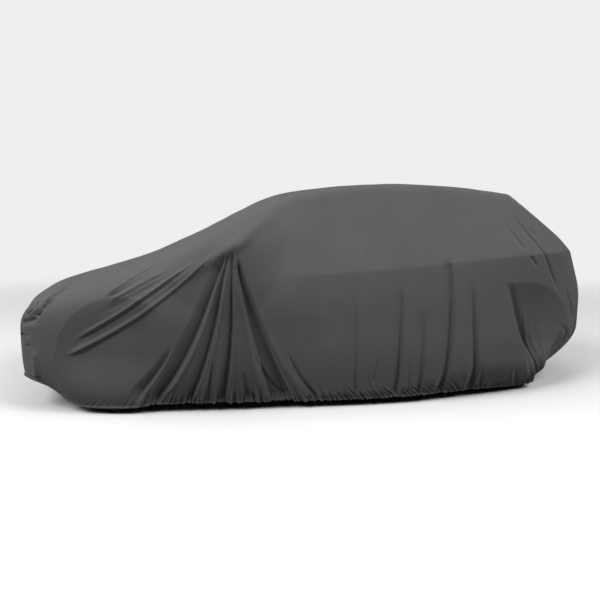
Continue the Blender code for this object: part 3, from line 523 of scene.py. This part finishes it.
def fold_height(fold, run, climb, around):
    """How far one fold lifts the sheet along its normal."""
    run_a, climb_a, run_b, climb_b, bend, wide_a, wide_b, height_a, height_b, fade_a, fade_b, kind = fold[1:]
    length = np.hypot(run_b - run_a, climb_b - climb_a)
    along_run, along_climb = (run_b - run_a) / length, (climb_b - climb_a) / length
    away = from_run(run, run_a, around)
    rise = climb - climb_a
    t = (away * along_run + rise * along_climb) / length
    inside = np.clip(t, 0, 1)
    side = rise * along_run - away * along_climb - bend * 4 * inside * (1 - inside)
    wide = wide_a + (wide_b - wide_a) * inside
    height = height_a + (height_b - height_a) * inside
    start = smooth_step(t / fade_a) if fade_a > 0 else smooth_step(1 + t / OPEN_START)
    end = smooth_step((1 - t) / fade_b) if fade_b > 0 else smooth_step(1 + (1 - t) / OPEN_END)
    return height * cross_section(kind, side, wide) * start * end


def all_folds(around):
    rows = list(LEFT_FOLDS) + list(END_FOLDS)
    for name, run_a, climb_a, run_b, climb_b, bend, *rest, kind in RIGHT_FOLDS:
        rows.append((name, around - run_a, climb_a, around - run_b, climb_b, -bend, *rest, MIRRORED[kind]))
    return rows


def hollows(points):
    """How far the cloth sinks in over the wheels."""
    x, y, z = points[..., 0], points[..., 1], points[..., 2]
    sink = np.zeros_like(x)
    for hollow, ends in zip(WHEEL_HOLLOWS, HOLLOW_ENDS):
        centre_x, centre_z, radius, depth, slope, roundness = hollow
        start, end, lean, start_ease, end_ease = ends
        behind = np.where(x > centre_x, 1, roundness) * (x - centre_x)
        inward = np.clip((radius - np.hypot(behind, z - centre_z)) / slope, 0, 1)
        above_hem = smooth_step((z - HOLLOW_FOOT) / HOLLOW_FOOT_EASE)
        started = start + lean * (HOLLOW_TOP - z)
        ahead_and_behind = smooth_step((x - started) / start_ease) * smooth_step((end - x) / end_ease)
        on_side = smooth_step((np.abs(y) - HOLLOW_INNER) / HOLLOW_INNER_EASE)
        bowl = depth * inward * (HOLLOW_EDGE - HOLLOW_EASE * inward)
        sink += bowl * above_hem * ahead_and_behind * on_side
    return sink


# Gathers: the small pleats that the elastic draws in the cloth just above the hem.
GATHER_SPACING = 0.022
GATHER_UNEVENNESS = 0.45  # share of the spacing that a pleat may lie off its place
GATHER_WIDTH = (0.005, 0.010)
GATHER_DEPTH = (0.008, 0.026)
GATHER_REACH = (0.05, 0.17)  # how far up the cloth it runs
GATHER_CUT = 4  # widths from its line beyond which a pleat is left out
GATHER_SWELL = 0.35  # share of its depth by which the cloth stands out beside it
GATHER_SEED = 11
GATHER_SHARE = (  # run, how strong the gathers are there
    (0.00, 0.15),
    (1.28, 0.10),
    (1.48, 1.00),
    (3.30, 1.00),
    (3.60, 0.60),
    (5.20, 0.60),
)
LEAN_REACH = (1.20, 1.80)  # distances from a peak between which the gathers cease to lean towards it
LEAST_DROP = 0.3  # they lean as if the peak were at least this far above them

# Hem casing: the turned-up edge that holds the elastic.
CASING_HEIGHT = 0.020
CASING_BULGE = 0.0090
STITCH_DEPTH = 0.0012
STITCH_WIDTH = 0.003

# Slackness: soft unevenness of the taut cloth.
SLACK_WAVES = 60
SLACK_TURNS = (8, 70)  # waves round the whole cover, from the broadest to the finest
SLACK_LEAN = 4  # the most that one leans, in radians for each metre of climb
SLACK_STRENGTH = (0.3, 1)
SLACK_NORM = 4  # one wave in this many counts towards the height of their sum
SLACK_HEIGHT = 0.0022
SLACK_SEED = 5
SLACK_FADE = 0.35  # share of the top's width over which it fades out towards the centre line


def hem_place(run, climb, rise, around):
    """Where the line of the gathers through each point meets the hem: they lean towards the peaks."""
    place = run.copy()
    for at in (PEAK_RUN, around - PEAK_RUN):
        off = from_run(run, at, around)
        lean = smooth_step((LEAN_REACH[1] - np.abs(off)) / (LEAN_REACH[1] - LEAN_REACH[0]))
        place = place + lean * off * rise / np.maximum(PEAK_CLIMB - climb, LEAST_DROP)
    return place


def gathers(run, climb, rise, around):
    """How far the pleats above the hem move the sheet along its normal."""
    rng = np.random.default_rng(GATHER_SEED)
    count = int(around / GATHER_SPACING)
    at = (np.arange(count) + GATHER_UNEVENNESS * rng.uniform(-1, 1, count)) * around / count
    wide = rng.uniform(*GATHER_WIDTH, count)
    depth = rng.uniform(*GATHER_DEPTH, count)
    reach = rng.uniform(*GATHER_REACH, count)
    depth = depth * table(GATHER_SHARE, np.minimum(at, around - at))
    place = hem_place(run, climb, rise, around)
    lift = np.zeros_like(run)
    for k in range(count):
        off = from_run(place, at[k], around)
        near = (np.abs(off) < GATHER_CUT * wide[k]) & (rise < reach[k])
        fade = smooth_step(1 - rise[near] / reach[k])
        lift[near] -= depth[k] * fade * (np.exp(-((off[near] / wide[k]) ** 2)) - GATHER_SWELL)
    return lift


def casing(rise):
    """How far the hem casing stands proud, with the line of stitches above it."""
    bulge = CASING_BULGE * np.sqrt(np.clip(1 - (2 * rise / CASING_HEIGHT - 1) ** 2, 0, 1))
    return bulge - STITCH_DEPTH * np.exp(-(((rise - CASING_HEIGHT) / STITCH_WIDTH) ** 2))


def slack(run, climb, around):
    """Soft unevenness, mostly of upright waves."""
    rng = np.random.default_rng(SLACK_SEED)
    lift = np.zeros_like(run)
    for _ in range(SLACK_WAVES):
        turns = rng.integers(*SLACK_TURNS)
        upward = rng.uniform(-SLACK_LEAN, SLACK_LEAN)
        phase = rng.uniform(0, 2 * np.pi)
        strength = rng.uniform(*SLACK_STRENGTH) / np.sqrt(turns / SLACK_TURNS[0])
        lift += strength * np.sin(2 * np.pi * turns * run / around + upward * climb + phase)
    return lift * SLACK_HEIGHT / np.sqrt(SLACK_WAVES / SLACK_NORM)


def column_runs():
    """Runs of the left half's meridians, close together where the folds are fine."""
    rows = np.array(COLUMN_SPACING)
    length = plan_outline()[0][-1]
    fine = np.linspace(0, length, OUTLINE_STEPS)
    density = 1 / np.interp(fine, rows[:, 0], rows[:, 1])
    counted = np.concatenate([[0], np.cumsum((density[1:] + density[:-1]) / 2 * np.diff(fine))])
    columns = int(round(counted[-1])) + 1
    return np.interp(np.linspace(0, counted[-1], columns), counted, fine)


def half_again(at):
    """The same runs, with one more between each two."""
    return np.insert(at, np.arange(1, len(at)), (at[1:] + at[:-1]) / 2)


class Sheet:
    """The dressed sheet's outer face: points, normals, run and rise, by row and by meridian."""

    def __init__(self, at, side_shares, top_shares):
        half, climb, rise = left_half(at, side_shares, top_shares)
        around = 2 * at[-1]
        run = np.concatenate([at, around - at[-2:0:-1]])
        self.around = around
        self.points = np.concatenate([half, half[:, -2:0:-1] * (1, -1, 1)], 1)
        self.climb = np.concatenate([climb, climb[:, -2:0:-1]], 1)
        self.rise = np.concatenate([rise, rise[:, -2:0:-1]], 1)
        self.run = np.broadcast_to(run, self.climb.shape).astype(float)
        self.number = np.arange(self.run.size).reshape(self.run.shape)
        middle = len(run) // 2
        self.joined = self.number.copy()
        self.joined[-1, middle + 1:] = self.joined[-1, middle - 1:0:-1]
        self.joined = self.joined.ravel()
        self.dress()

    def normals_of(self, points):
        """Outward direction of the sheet at every point."""
        across = np.roll(points, -1, 1) - np.roll(points, 1, 1)
        up = np.gradient(points, axis=0)
        up[-1] = np.roll(points[-2, ::-1], 1, 0) - points[-2]
        across[-1] = np.cross(up[-1], (0, 0, 1))
        out = np.cross(across, up)
        return out / np.maximum(np.linalg.norm(out, axis=2, keepdims=True), SHORTEST_NORMAL)

    def dress(self):
        """Pushes the sheet out to the peaks, and gives it its folds, gathers and casing."""
        run, climb, rise, around = self.run, self.climb, self.rise, self.around
        points = tents(self.points, run, climb, around)
        lift = -hollows(points)
        for fold in all_folds(around):
            lift = lift + fold_height(fold, run, climb, around)
        lift *= HEM_FOLD_SHARE + (1 - HEM_FOLD_SHARE) * smooth_step(rise / HEM_BAND)
        above_casing = HEM_FOLD_SHARE + (1 - HEM_FOLD_SHARE) * smooth_step(rise / CASING_HEIGHT)
        lift += gathers(run, climb, rise, around) * above_casing
        lift += casing(rise)
        from_spine = smooth_step((1 - climb / climb[-1]) / SLACK_FADE)
        lift += slack(run, climb, around) * smooth_step(rise / HEM_BAND) * from_spine
        points = points + lift[..., None] * self.normals_of(points)
        points[-1] = (points[-1] + np.roll(points[-1, ::-1], 1, 0)) / 2
        self.points, self.normals = points, self.normals_of(points)

    def straighten(self, rows, columns, step):
        """Puts the points of that line between its kept neighbours, which lie that many points apart."""
        for field in (self.points, self.normals):
            line = field[rows, columns]
            every = np.arange(len(line))
            kept = every[::step]
            straight = [np.interp(every, kept, line[::step, axis]) for axis in range(3)]
            field[rows, columns] = np.stack(straight, 1)

    def quads(self, rows, columns):
        """Corners of the faces between those rows and meridians, seen from outside."""
        block = self.number[np.ix_(rows, columns)]
        return np.stack([block[:-1, :-1], block[:-1, 1:], block[1:, 1:], block[1:, :-1]], 2).reshape(-1, 4)


def shell(name, sheet, groups, material):
    """A thin closed piece of the sheet: those faces, the same ones inside, and rims along their edges."""
    behind = sheet.number.size
    outer = [sheet.joined[group] for group in groups]
    edges = np.concatenate([np.stack([group, np.roll(group, -1, 1)], 2).reshape(-1, 2) for group in outer])
    forth, back = edges[:, 0] * behind + edges[:, 1], edges[:, 1] * behind + edges[:, 0]
    first, second = edges[~np.isin(forth, back)].T
    rims = np.stack([second, first, first + behind, second + behind], 1)
    parts = outer + [group[:, ::-1] + behind for group in outer] + [rims]
    map_parts = groups + [group[:, ::-1] for group in groups] + [rims % behind]

    maps = np.stack([sheet.run, sheet.rise], 2).reshape(-1, 2)
    face_maps = []
    for corners in map_parts:
        corner_maps = maps[corners]
        run = corner_maps[..., 0]
        wraps = (run.max(1) - run.min(1) > sheet.around / 2)[:, None]
        run[:] = np.where(wraps & (run < sheet.around / 2), run + sheet.around, run)
        face_maps.append(corner_maps.reshape(-1, 2))

    places = np.concatenate([sheet.points, sheet.points - SHEET_THICKNESS * sheet.normals]).reshape(-1, 3)
    directions = np.concatenate([sheet.normals, -sheet.normals]).reshape(-1, 3)
    used = np.unique(np.concatenate([part.ravel() for part in parts]))
    new_number = np.zeros(len(places), int)
    new_number[used] = np.arange(len(used))
    faces = []
    for part in parts:
        faces += new_number[part].tolist()
    mesh = bpy.data.meshes.new(name)
    mesh.from_pydata(places[used].tolist(), [], faces)
    mesh.polygons.foreach_set("use_smooth", np.ones(len(faces), bool))
    layer = mesh.uv_layers.new(name="run_and_rise")
    layer.data.foreach_set("uv", np.concatenate(face_maps).ravel())
    mesh.normals_split_custom_set_from_vertices(directions[used].tolist())
    mesh.materials.append(material)
    piece = bpy.data.objects.new(name, mesh)
    bpy.context.scene.collection.objects.link(piece)
    return piece


CLOTH_DARK = (0.078, 0.078, 0.079, 1.0)
CLOTH_LIGHT = (0.098, 0.098, 0.099, 1.0)
CLOTH_ROUGHNESS = 0.82
CLOTH_GLOSS = 0.25
CLOTH_SHEEN = 0.12
SHEEN_ROUGHNESS = 0.5
MOTTLES = 3.0  # scale of the soft patches
RIBS = 90.0  # scale of the upright ribs
RIB_UNEVENNESS = 1.5
RIB_STRENGTH = 0.12
RIB_HEIGHT = 0.001
# Sockets of a colour mix: its two colours, and the result.
MIX_A, MIX_B, MIX_RESULT = 6, 7, 2


def node(tree, kind, **values):
    """A new node, with its inputs set by name."""
    made = tree.nodes.new(kind)
    for name, value in values.items():
        if name in made.inputs:
            made.inputs[name].default_value = value
        else:
            setattr(made, name, value)
    return made


def cloth_material():
    """Fine stretch knit: soft mottling, thin upright ribs and a slight sheen."""
    made = bpy.data.materials.new("stretch_cloth_knit")
    made.use_nodes = True
    tree = made.node_tree
    shader = tree.nodes["Principled BSDF"]
    shader.inputs["Roughness"].default_value = CLOTH_ROUGHNESS
    shader.inputs["Specular IOR Level"].default_value = CLOTH_GLOSS
    shader.inputs["Sheen Weight"].default_value = CLOTH_SHEEN
    shader.inputs["Sheen Roughness"].default_value = SHEEN_ROUGHNESS

    place = node(tree, "ShaderNodeUVMap", uv_map="run_and_rise")
    mottle = node(tree, "ShaderNodeTexNoise", Scale=MOTTLES, Detail=6.0, Roughness=0.6)
    tree.links.new(place.outputs["UV"], mottle.inputs["Vector"])
    colour = node(tree, "ShaderNodeMix", data_type="RGBA")
    colour.inputs[MIX_A].default_value = CLOTH_DARK
    colour.inputs[MIX_B].default_value = CLOTH_LIGHT
    tree.links.new(mottle.outputs["Fac"], colour.inputs["Factor"])
    tree.links.new(colour.outputs[MIX_RESULT], shader.inputs["Base Color"])

    ribs = node(tree, "ShaderNodeTexWave", Scale=RIBS, Distortion=RIB_UNEVENNESS, Detail=2.0)
    ribs.bands_direction = "X"
    tree.links.new(place.outputs["UV"], ribs.inputs["Vector"])
    bump = node(tree, "ShaderNodeBump", Strength=RIB_STRENGTH, Distance=RIB_HEIGHT)
    tree.links.new(ribs.outputs["Fac"], bump.inputs["Height"])
    tree.links.new(bump.outputs["Normal"], shader.inputs["Normal"])
    return made


# The stage, in metres from the middle of the cover on the ground.
FLOOR_RADIUS = 9.0
FLOOR_FADE = (3.2, 8.5)  # radii between which the floor fades into the pale surroundings
FLOOR_COLOUR = (0.86, 0.86, 0.86, 1.0)  # as it is seen
FLOOR_BOUNCE = (0.25, 0.25, 0.25, 1.0)  # as it lights the cover
SURROUNDINGS = 0.86  # brightness of the surroundings as they are seen
AMBIENT = 0.02  # the light that comes from them
FLOOR_ROUGHNESS = 0.95


def build_stage(ground_z):
    """A pale floor that fades out into pale surroundings."""
    corner = FLOOR_RADIUS
    mesh = bpy.data.meshes.new("stage_floor")
    mesh.from_pydata([(-corner, -corner, ground_z), (corner, -corner, ground_z),
                      (corner, corner, ground_z), (-corner, corner, ground_z)], [], [(0, 1, 2, 3)])
    paint = bpy.data.materials.new("stage_paint")
    paint.use_nodes = True
    tree = paint.node_tree
    shader = tree.nodes["Principled BSDF"]
    seen = node(tree, "ShaderNodeLightPath")
    colour = node(tree, "ShaderNodeMix", data_type="RGBA")
    colour.inputs[MIX_A].default_value = FLOOR_BOUNCE
    colour.inputs[MIX_B].default_value = FLOOR_COLOUR
    tree.links.new(seen.outputs["Is Camera Ray"], colour.inputs["Factor"])
    tree.links.new(colour.outputs[MIX_RESULT], shader.inputs["Base Color"])
    shader.inputs["Roughness"].default_value = FLOOR_ROUGHNESS
    shader.inputs["Specular IOR Level"].default_value = 0.0
    place = node(tree, "ShaderNodeTexCoord")
    away = node(tree, "ShaderNodeVectorMath", operation="LENGTH")
    tree.links.new(place.outputs["Object"], away.inputs[0])
    fade = node(tree, "ShaderNodeMapRange", interpolation_type="SMOOTHSTEP")
    for name, value in zip(("From Min", "From Max", "To Min", "To Max"), (*FLOOR_FADE, 1.0, 0.0)):
        fade.inputs[name].default_value = value
    tree.links.new(away.outputs["Value"], fade.inputs["Value"])
    tree.links.new(fade.outputs["Result"], shader.inputs["Alpha"])
    mesh.materials.append(paint)
    floor = bpy.data.objects.new("stage_floor", mesh)
    bpy.context.scene.collection.objects.link(floor)


LIGHTS = (  # name, place, where it points, width, depth, watts, spread in degrees
    ("overhead", (0.3, 0.0, 9.0), (0.3, 0.0, 0.5), 6.0, 6.0, 195.0, 180.0),
    ("front", (-9.0, 0.0, 7.0), (0.0, 0.0, 0.5), 6.0, 6.0, 248.0, 180.0),
    ("front_left", (-7.0, -6.0, 9.0), (0.0, 0.0, 0.5), 6.0, 6.0, 1012.0, 180.0),
    ("rear_left", (7.0, -6.0, 9.0), (0.0, 0.0, 0.5), 6.0, 6.0, 976.0, 180.0),
)


def build_lights():
    for name, place, target, width, depth, watts, spread in LIGHTS:
        light = bpy.data.lights.new(name, "AREA")
        light.shape = "RECTANGLE"
        light.size = width
        light.size_y = depth
        light.energy = watts
        light.spread = math.radians(spread)
        lamp = bpy.data.objects.new(name, light)
        lamp.location = place
        lamp.rotation_euler = (Vector(target) - Vector(place)).to_track_quat("-Z", "Y").to_euler()
        lamp.visible_camera = False
        bpy.context.scene.collection.objects.link(lamp)
    world = bpy.data.worlds.new("studio")
    world.use_nodes = True
    tree = world.node_tree
    shown = tree.nodes["Background"]
    shown.inputs["Color"].default_value = (1, 1, 1, 1)
    shown.inputs["Strength"].default_value = SURROUNDINGS
    lit = node(tree, "ShaderNodeBackground")
    lit.inputs["Color"].default_value = (1, 1, 1, 1)
    lit.inputs["Strength"].default_value = AMBIENT
    path = node(tree, "ShaderNodeLightPath")
    either = node(tree, "ShaderNodeMixShader")
    tree.links.new(path.outputs["Is Camera Ray"], either.inputs[0])
    tree.links.new(lit.outputs[0], either.inputs[1])
    tree.links.new(shown.outputs[0], either.inputs[2])
    tree.links.new(either.outputs[0], tree.nodes["World Output"].inputs["Surface"])
    bpy.context.scene.world = world


CAMERA_PLACE = (-0.72, -4.74, 1.31)  # over the ground that the form is worked out on
CAMERA_YAW = 7.66  # degrees towards the rear end
CAMERA_DIP = 8.62
CAMERA_LENS = 38.04
CAMERA_SENSOR = 36.0
CAMERA_REACH = 200


def build_camera(move):
    lens = bpy.data.cameras.new("camera")
    lens.lens = CAMERA_LENS
    lens.sensor_width = CAMERA_SENSOR
    lens.clip_end = CAMERA_REACH
    camera = bpy.data.objects.new("camera", lens)
    camera.location = np.array(CAMERA_PLACE) + move
    camera.rotation_euler = (math.radians(90 - CAMERA_DIP), 0, -math.radians(CAMERA_YAW))
    bpy.context.scene.collection.objects.link(camera)
    bpy.context.scene.camera = camera


def build_cover():
    """The cover's pieces, and how far they moved.

    They are the cloth, its gathered hem, and finer cloth where the folds are many.
    """
    at = half_again(half_again(column_runs()))
    hem_shares = HEM_SHARE * np.linspace(0, 1, HEM_ROWS + 1) ** HEM_CROWDING
    side_shares = 1 - (1 - HEM_SHARE) * np.linspace(1, 0, SIDE_ROWS + 1)[1:] ** SHOULDER_CROWDING
    upper_shares = TOP_SHARE * np.linspace(0, 1, UPPER_ROWS + 1)[1:] ** SHOULDER_CROWDING
    top_shares = np.linspace(TOP_SHARE, 1, TOP_ROWS + 1)[1:]
    sheet = Sheet(at, np.concatenate([hem_shares, side_shares]), np.concatenate([upper_shares, top_shares]))

    seam, shoulder, upper_edge, spine = np.cumsum([HEM_ROWS, SIDE_ROWS, UPPER_ROWS, TOP_ROWS])
    side, upper = np.arange(seam, shoulder + 1), np.arange(shoulder, upper_edge + 1)
    around = sheet.run.shape[1]
    first, last, rear_first, rear_last = (
        BROAD_STEP * int(round(np.interp(run, at, np.arange(len(at))) / BROAD_STEP))
        for run in FRONT_RUNS + QUARTER_RUNS
    )
    left = np.arange(first, last + 1)
    right = np.arange(around - last, around - first + 1, MIDDLE_STEP)
    quarter_left = np.arange(rear_first, rear_last + 1, MIDDLE_STEP)
    quarter_right = np.arange(around - rear_last, around - rear_first + 1, MIDDLE_STEP)
    sheet.straighten(seam, np.arange(last, around + first + 1) % around, MIDDLE_STEP)
    broad_in_middle = BROAD_STEP // MIDDLE_STEP
    for columns in (left, right, quarter_left, quarter_right):
        sheet.straighten(upper_edge, columns, BROAD_STEP if columns is left else broad_in_middle)
        for column in (columns[0], columns[-1]):
            sheet.straighten(upper, column, UPPER_STEP)
    for column in (left[0], left[-1], right[0], right[-1], rear_first, rear_last):
        sheet.straighten(side, column, SIDE_STEP)

    box_low, box_high = (np.array(corner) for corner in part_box("cover"))
    low, high = sheet.points.min((0, 1)), sheet.points.max((0, 1))
    move = (box_low + box_high - low - high) / 2
    move[2] = box_low[2] - low[2]
    sheet.points += move

    ring = np.append(np.arange(around), 0)
    fours, fives = [sheet.quads(np.arange(upper_edge, spine + 1), ring[::BROAD_STEP])], []
    for start, end in ((-first, first), (last, rear_first), (rear_last, around - last)):
        fours.append(sheet.quads(side[::SIDE_STEP], np.arange(start, end + 1, MIDDLE_STEP) % around))
    for start, end in ((-first, first), (last, rear_first), (rear_last, around - rear_last),
                       (around - rear_first, around - last)):
        columns = np.arange(start, end + 1, MIDDLE_STEP) % around
        broad = columns[::broad_in_middle]
        fours.append(sheet.quads(upper[UPPER_STEP::UPPER_STEP], broad))
        low_row, high_row = sheet.number[shoulder, columns], sheet.number[shoulder + UPPER_STEP, broad]
        fives.append(np.stack([low_row[:-1:2], low_row[1::2], low_row[2::2], high_row[1:], high_row[:-1]], 1))
    cloth = cloth_material()
    pieces = [shell("cover_cloth", sheet, [np.concatenate(fours), np.concatenate(fives)], cloth)]
    for name, rows, columns in (
        ("cover_hem", np.arange(seam + 1), ring),
        ("cover_side_left", side, left),
        ("cover_side_right", side, right),
        ("cover_side_rear", side, quarter_left),
        ("cover_upper_left", upper, left),
        ("cover_upper_right", upper, right),
        ("cover_quarter_left", upper, quarter_left),
        ("cover_quarter_right", upper, quarter_right),
    ):
        pieces.append(shell(name, sheet, [sheet.quads(rows, columns)], cloth))
    return pieces, move


def main():
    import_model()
    bpy.context.scene.view_settings.view_transform = "Standard"
    pieces, move = build_cover()
    for piece in pieces:
        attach(piece, "root")
        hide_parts("cover")
    build_stage(move[2])
    build_lights()
    build_camera(move)


main()
